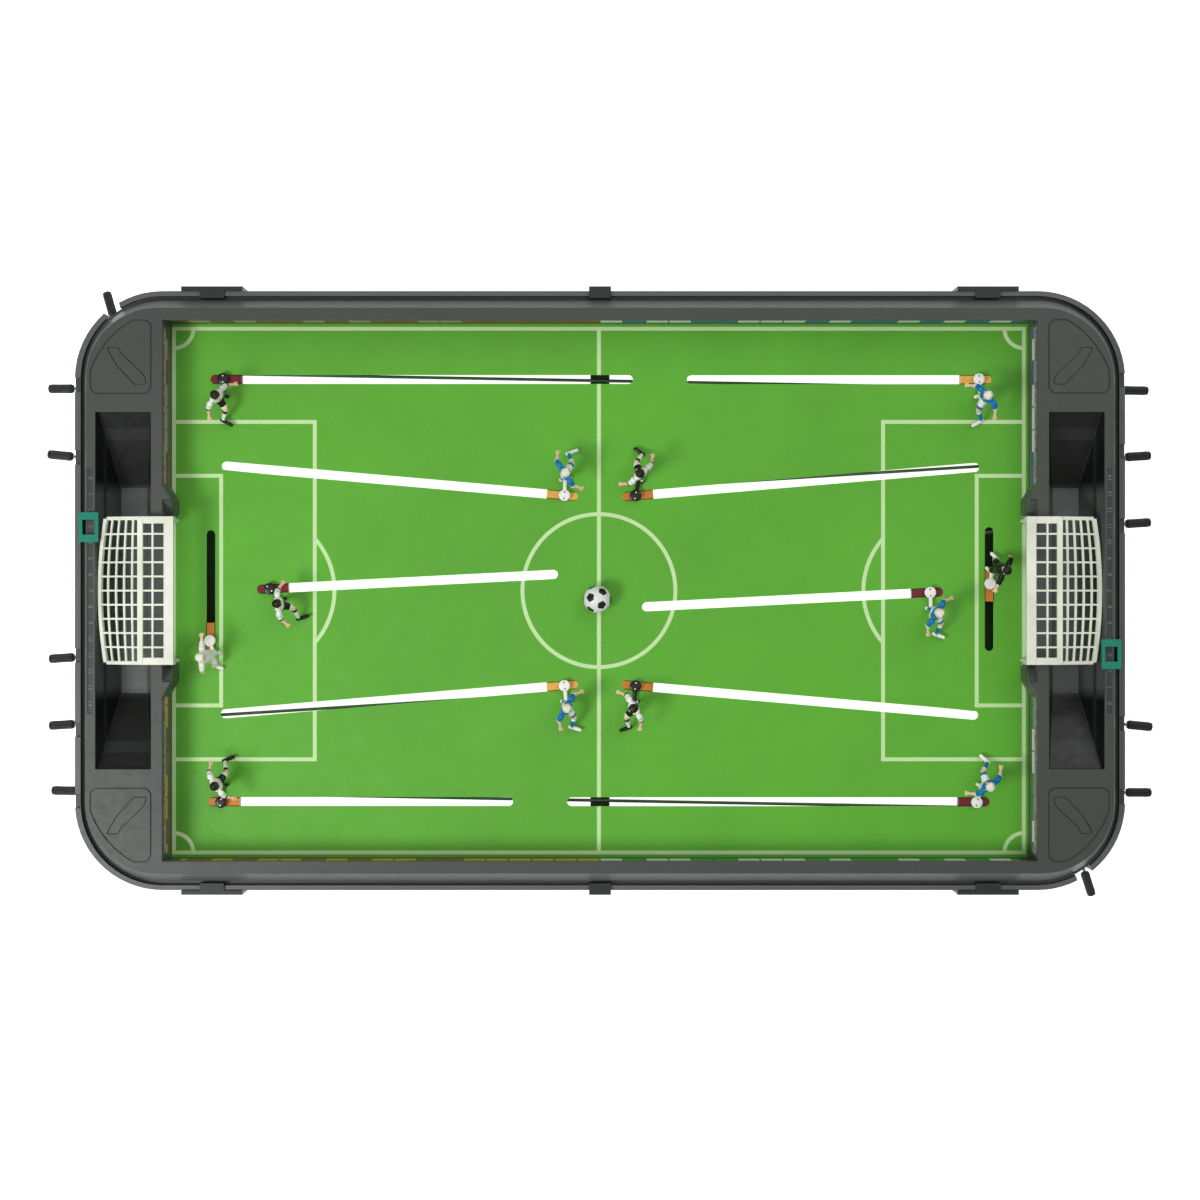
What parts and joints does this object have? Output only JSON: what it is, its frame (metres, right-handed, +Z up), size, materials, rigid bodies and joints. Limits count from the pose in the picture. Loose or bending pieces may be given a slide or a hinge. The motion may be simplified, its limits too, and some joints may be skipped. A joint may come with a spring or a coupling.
{
  "type": "tabletop football game",
  "caption": "Tabletop football game: toy players on sliding, turning rods in a slotted green pitch, in a rounded frame with goals, ball troughs and score sliders.",
  "frame": {"origin": "middle of the footprint, on the surface the game stands on", "axes": "+Z up; +X along the length, from the blue team's end to the white team's end; +Y to the far long side"},
  "size_m": [1.0334, 0.5707, 0.12],
  "materials": {
    "frame_charcoal": "satin moulded charcoal plastic, darker and glossier inside the troughs",
    "pitch_green": "satin green sheet with pale printed lines",
    "goal_white": "white moulding",
    "card": "printed card",
    "clip_black": "satin",
    "rubber": "matte",
    "slider_teal": "gloss",
    "ball_white": "white with black panels",
    "toy_white": "painted toy figure in white kit",
    "toy_blue": "painted toy figure in blue kit",
    "toy_keeper_white": "painted toy figure in white kit",
    "toy_keeper_black": "painted toy figure in black kit",
    "carriage_red": "moulded",
    "carriage_orange": "moulded",
    "carriage_yellow": "moulded",
    "steel": "drawn rod",
    "knob": "ribbed grip"
  },
  "bodies": {
    "root": {"frame_shell": "frame_charcoal", "pitch_board": "pitch_green", "goal_left": "goal_white", "goal_right": "goal_white", "wall_strips": "card", "side_clips": "clip_black", "foot_pads": "rubber"},
    "white_wing_long_carriage": {"white_wing_long_carriage": "carriage_red"},
    "white_wing_long_rod": {"white_wing_long_rod": "steel", "white_wing_long_knob": "knob"},
    "white_wing_long_figure": {"white_wing_long_figure": "toy_white"},
    "white_wing_short_carriage": {"white_wing_short_carriage": "carriage_orange"},
    "white_wing_short_rod": {"white_wing_short_rod": "steel", "white_wing_short_knob": "knob"},
    "white_wing_short_figure": {"white_wing_short_figure": "toy_white"},
    "white_centre_carriage": {"white_centre_carriage": "carriage_red"},
    "white_centre_rod": {"white_centre_rod": "steel", "white_centre_knob": "knob"},
    "white_centre_figure": {"white_centre_figure": "toy_white"},
    "white_defender_far_carriage": {"white_defender_far_carriage": "carriage_orange"},
    "white_defender_far_rod": {"white_defender_far_rod": "steel", "white_defender_far_knob": "knob"},
    "white_defender_far_figure": {"white_defender_far_figure": "toy_white"},
    "white_defender_near_carriage": {"white_defender_near_carriage": "carriage_orange"},
    "white_defender_near_rod": {"white_defender_near_rod": "steel", "white_defender_near_knob": "knob"},
    "white_defender_near_figure": {"white_defender_near_figure": "toy_white"},
    "blue_wing_long_carriage": {"blue_wing_long_carriage": "carriage_red"},
    "blue_wing_long_rod": {"blue_wing_long_rod": "steel", "blue_wing_long_knob": "knob"},
    "blue_wing_long_figure": {"blue_wing_long_figure": "toy_blue"},
    "blue_wing_short_carriage": {"blue_wing_short_carriage": "carriage_yellow"},
    "blue_wing_short_rod": {"blue_wing_short_rod": "steel", "blue_wing_short_knob": "knob"},
    "blue_wing_short_figure": {"blue_wing_short_figure": "toy_blue"},
    "blue_centre_carriage": {"blue_centre_carriage": "carriage_red"},
    "blue_centre_rod": {"blue_centre_rod": "steel", "blue_centre_knob": "knob"},
    "blue_centre_figure": {"blue_centre_figure": "toy_blue"},
    "blue_defender_far_carriage": {"blue_defender_far_carriage": "carriage_yellow"},
    "blue_defender_far_rod": {"blue_defender_far_rod": "steel", "blue_defender_far_knob": "knob"},
    "blue_defender_far_figure": {"blue_defender_far_figure": "toy_blue"},
    "blue_defender_near_carriage": {"blue_defender_near_carriage": "carriage_yellow"},
    "blue_defender_near_rod": {"blue_defender_near_rod": "steel", "blue_defender_near_knob": "knob"},
    "blue_defender_near_figure": {"blue_defender_near_figure": "toy_blue"},
    "blue_keeper_carriage": {"blue_keeper_carriage": "carriage_orange"},
    "blue_keeper_yoke": {"blue_keeper_yoke": "carriage_orange"},
    "blue_keeper_rod": {"blue_keeper_rod": "steel", "blue_keeper_knob": "knob"},
    "blue_keeper_figure": {"blue_keeper_figure": "toy_keeper_white"},
    "white_keeper_carriage": {"white_keeper_carriage": "carriage_orange"},
    "white_keeper_yoke": {"white_keeper_yoke": "carriage_orange"},
    "white_keeper_rod": {"white_keeper_rod": "steel", "white_keeper_knob": "knob"},
    "white_keeper_figure": {"white_keeper_figure": "toy_keeper_black"},
    "score_slider_left": {"score_slider_left": "slider_teal"},
    "score_slider_right": {"score_slider_right": "slider_teal"},
    "ball": {"ball": "ball_white"}
  },
  "joints": [
    {"name": "white_wing_long_slide", "type": "slide", "parent": "root", "child": "white_wing_long_carriage", "axis": [1, 0, 0], "range_m": [0, 0.3601]},
    {"name": "white_wing_long_rod_spin", "type": "hinge", "parent": "white_wing_long_carriage", "child": "white_wing_long_rod", "pos_m": [-0.34805, 0.2036, 0.038], "axis": [0.9998, -0.0183, 0], "continuous": true},
    {"name": "white_wing_long_figure_spin", "type": "hinge", "parent": "white_wing_long_carriage", "child": "white_wing_long_figure", "pos_m": [-0.3482, 0.1956, 0.038], "axis": [0, 0, 1], "continuous": true},
    {"name": "white_wing_short_slide", "type": "slide", "parent": "root", "child": "white_wing_short_carriage", "axis": [1, 0, 0], "range_m": [0, 0.251]},
    {"name": "white_wing_short_rod_spin", "type": "hinge", "parent": "white_wing_short_carriage", "child": "white_wing_short_rod", "pos_m": [-0.35009, -0.1874, 0.05], "axis": [1, -0.0013, 0], "continuous": true},
    {"name": "white_wing_short_figure_spin", "type": "hinge", "parent": "white_wing_short_carriage", "child": "white_wing_short_figure", "pos_m": [-0.3501, -0.1954, 0.05], "axis": [0, 0, 1], "continuous": true},
    {"name": "white_centre_slide", "type": "slide", "parent": "root", "child": "white_centre_carriage", "axis": [0.9987, 0.0505, 0], "range_m": [0, 0.2479]},
    {"name": "white_centre_rod_spin", "type": "hinge", "parent": "white_centre_carriage", "child": "white_centre_rod", "pos_m": [-0.30564, 0.00971, 0.05], "axis": [0.9978, 0.0658, 0], "continuous": true},
    {"name": "white_centre_figure_spin", "type": "hinge", "parent": "white_centre_carriage", "child": "white_centre_figure", "pos_m": [-0.30512, 0.00173, 0.05], "axis": [0, 0, 1], "continuous": true},
    {"name": "white_defender_far_slide", "type": "slide", "parent": "root", "child": "white_defender_far_carriage", "axis": [0.9965, 0.0834, 0], "range_m": [0, 0.3012]},
    {"name": "white_defender_far_rod_spin", "type": "hinge", "parent": "white_defender_far_carriage", "child": "white_defender_far_rod", "pos_m": [0.03235, 0.09583, 0.05], "axis": [0.998, 0.0628, 0], "continuous": true},
    {"name": "white_defender_far_figure_spin", "type": "hinge", "parent": "white_defender_far_carriage", "child": "white_defender_far_figure", "pos_m": [0.03286, 0.08784, 0.05], "axis": [0, 0, 1], "continuous": true},
    {"name": "white_defender_near_slide", "type": "slide", "parent": "root", "child": "white_defender_near_carriage", "axis": [0.9962, -0.0869, 0], "range_m": [0, 0.3003]},
    {"name": "white_defender_near_rod_spin", "type": "hinge", "parent": "white_defender_near_carriage", "child": "white_defender_near_rod", "pos_m": [0.03363, -0.08013, 0.05], "axis": [0.9952, -0.0976, 0], "continuous": true},
    {"name": "white_defender_near_figure_spin", "type": "hinge", "parent": "white_defender_near_carriage", "child": "white_defender_near_figure", "pos_m": [0.03285, -0.08809, 0.05], "axis": [0, 0, 1], "continuous": true},
    {"name": "blue_wing_long_slide", "type": "slide", "parent": "root", "child": "blue_wing_long_carriage", "axis": [-1, 0, 0], "range_m": [0, 0.3601]},
    {"name": "blue_wing_long_rod_spin", "type": "hinge", "parent": "blue_wing_long_carriage", "child": "blue_wing_long_rod", "pos_m": [0.34805, -0.2036, 0.038], "axis": [-0.9998, 0.0183, 0], "continuous": true},
    {"name": "blue_wing_long_figure_spin", "type": "hinge", "parent": "blue_wing_long_carriage", "child": "blue_wing_long_figure", "pos_m": [0.3482, -0.1956, 0.038], "axis": [0, 0, 1], "continuous": true},
    {"name": "blue_wing_short_slide", "type": "slide", "parent": "root", "child": "blue_wing_short_carriage", "axis": [-1, 0, 0], "range_m": [0, 0.251]},
    {"name": "blue_wing_short_rod_spin", "type": "hinge", "parent": "blue_wing_short_carriage", "child": "blue_wing_short_rod", "pos_m": [0.35009, 0.1874, 0.05], "axis": [-1, 0.0013, 0], "continuous": true},
    {"name": "blue_wing_short_figure_spin", "type": "hinge", "parent": "blue_wing_short_carriage", "child": "blue_wing_short_figure", "pos_m": [0.3501, 0.1954, 0.05], "axis": [0, 0, 1], "continuous": true},
    {"name": "blue_centre_slide", "type": "slide", "parent": "root", "child": "blue_centre_carriage", "axis": [-0.9987, -0.0505, 0], "range_m": [0, 0.2479]},
    {"name": "blue_centre_rod_spin", "type": "hinge", "parent": "blue_centre_carriage", "child": "blue_centre_rod", "pos_m": [0.30564, -0.00971, 0.05], "axis": [-0.9978, -0.0658, 0], "continuous": true},
    {"name": "blue_centre_figure_spin", "type": "hinge", "parent": "blue_centre_carriage", "child": "blue_centre_figure", "pos_m": [0.30512, -0.00173, 0.05], "axis": [0, 0, 1], "continuous": true},
    {"name": "blue_defender_far_slide", "type": "slide", "parent": "root", "child": "blue_defender_far_carriage", "axis": [-0.9965, -0.0834, 0], "range_m": [0, 0.3012]},
    {"name": "blue_defender_far_rod_spin", "type": "hinge", "parent": "blue_defender_far_carriage", "child": "blue_defender_far_rod", "pos_m": [-0.03235, -0.09583, 0.05], "axis": [-0.998, -0.0628, 0], "continuous": true},
    {"name": "blue_defender_far_figure_spin", "type": "hinge", "parent": "blue_defender_far_carriage", "child": "blue_defender_far_figure", "pos_m": [-0.03286, -0.08784, 0.05], "axis": [0, 0, 1], "continuous": true},
    {"name": "blue_defender_near_slide", "type": "slide", "parent": "root", "child": "blue_defender_near_carriage", "axis": [-0.9962, 0.0869, 0], "range_m": [0, 0.3003]},
    {"name": "blue_defender_near_rod_spin", "type": "hinge", "parent": "blue_defender_near_carriage", "child": "blue_defender_near_rod", "pos_m": [-0.03363, 0.08013, 0.05], "axis": [-0.9952, 0.0976, 0], "continuous": true},
    {"name": "blue_defender_near_figure_spin", "type": "hinge", "parent": "blue_defender_near_carriage", "child": "blue_defender_near_figure", "pos_m": [-0.03285, 0.08809, 0.05], "axis": [0, 0, 1], "continuous": true},
    {"name": "blue_keeper_slide", "type": "slide", "parent": "root", "child": "blue_keeper_carriage", "axis": [0, 1, 0], "range_m": [0, 0.0837]},
    {"name": "blue_keeper_yoke_swing", "type": "hinge", "parent": "blue_keeper_carriage", "child": "blue_keeper_yoke", "pos_m": [-0.3605, -0.0463, 0.06], "axis": [0, 0, 1], "range_deg": [-0.05, 5.81]},
    {"name": "blue_keeper_rod_spin", "type": "hinge", "parent": "blue_keeper_yoke", "child": "blue_keeper_rod", "pos_m": [-0.36818, -0.04853, 0.038], "axis": [-0.2792, 0.9602, 0], "continuous": true},
    {"name": "blue_keeper_figure_spin", "type": "hinge", "parent": "blue_keeper_yoke", "child": "blue_keeper_figure", "pos_m": [-0.3605, -0.0463, 0.038], "axis": [0, 0, 1], "continuous": true},
    {"name": "white_keeper_slide", "type": "slide", "parent": "root", "child": "white_keeper_carriage", "axis": [0, -1, 0], "range_m": [-0.0399, 0.0438]},
    {"name": "white_keeper_yoke_swing", "type": "hinge", "parent": "white_keeper_carriage", "child": "white_keeper_yoke", "pos_m": [0.3605, 0.0064, 0.06], "axis": [0, 0, 1], "range_deg": [-2.66, 2.91]},
    {"name": "white_keeper_rod_spin", "type": "hinge", "parent": "white_keeper_yoke", "child": "white_keeper_rod", "pos_m": [0.36812, 0.00883, 0.038], "axis": [0.3039, -0.9527, 0], "continuous": true},
    {"name": "white_keeper_figure_spin", "type": "hinge", "parent": "white_keeper_yoke", "child": "white_keeper_figure", "pos_m": [0.3605, 0.0064, 0.038], "axis": [0, 0, 1], "continuous": true},
    {"name": "score_slide_left", "type": "slide", "parent": "root", "child": "score_slider_left", "axis": [0, 1, 0], "range_m": [-0.154, 0.04]},
    {"name": "score_slide_right", "type": "slide", "parent": "root", "child": "score_slider_right", "axis": [0, -1, 0], "range_m": [-0.154, 0.04]},
    {"name": "ball_lift", "type": "slide", "parent": "root", "child": "ball", "axis": [0, 0, 1], "range_m": [0, 0.12]}
  ],
  "couplings": [
    {"joint": "white_wing_long_rod_spin", "follows": "white_wing_long_figure_spin", "ratio": 1},
    {"joint": "white_wing_short_rod_spin", "follows": "white_wing_short_figure_spin", "ratio": 1},
    {"joint": "white_centre_rod_spin", "follows": "white_centre_figure_spin", "ratio": 1},
    {"joint": "white_defender_far_rod_spin", "follows": "white_defender_far_figure_spin", "ratio": 1},
    {"joint": "white_defender_near_rod_spin", "follows": "white_defender_near_figure_spin", "ratio": 1},
    {"joint": "blue_wing_long_rod_spin", "follows": "blue_wing_long_figure_spin", "ratio": 1},
    {"joint": "blue_wing_short_rod_spin", "follows": "blue_wing_short_figure_spin", "ratio": 1},
    {"joint": "blue_centre_rod_spin", "follows": "blue_centre_figure_spin", "ratio": 1},
    {"joint": "blue_defender_far_rod_spin", "follows": "blue_defender_far_figure_spin", "ratio": 1},
    {"joint": "blue_defender_near_rod_spin", "follows": "blue_defender_near_figure_spin", "ratio": 1},
    {"joint": "blue_keeper_rod_spin", "follows": "blue_keeper_figure_spin", "ratio": 1},
    {"joint": "blue_keeper_yoke_swing", "follows": "blue_keeper_slide", "rad_per_m": 1.2002},
    {"joint": "white_keeper_rod_spin", "follows": "white_keeper_figure_spin", "ratio": 1},
    {"joint": "white_keeper_yoke_swing", "follows": "white_keeper_slide", "rad_per_m": 1.1398}
  ]
}
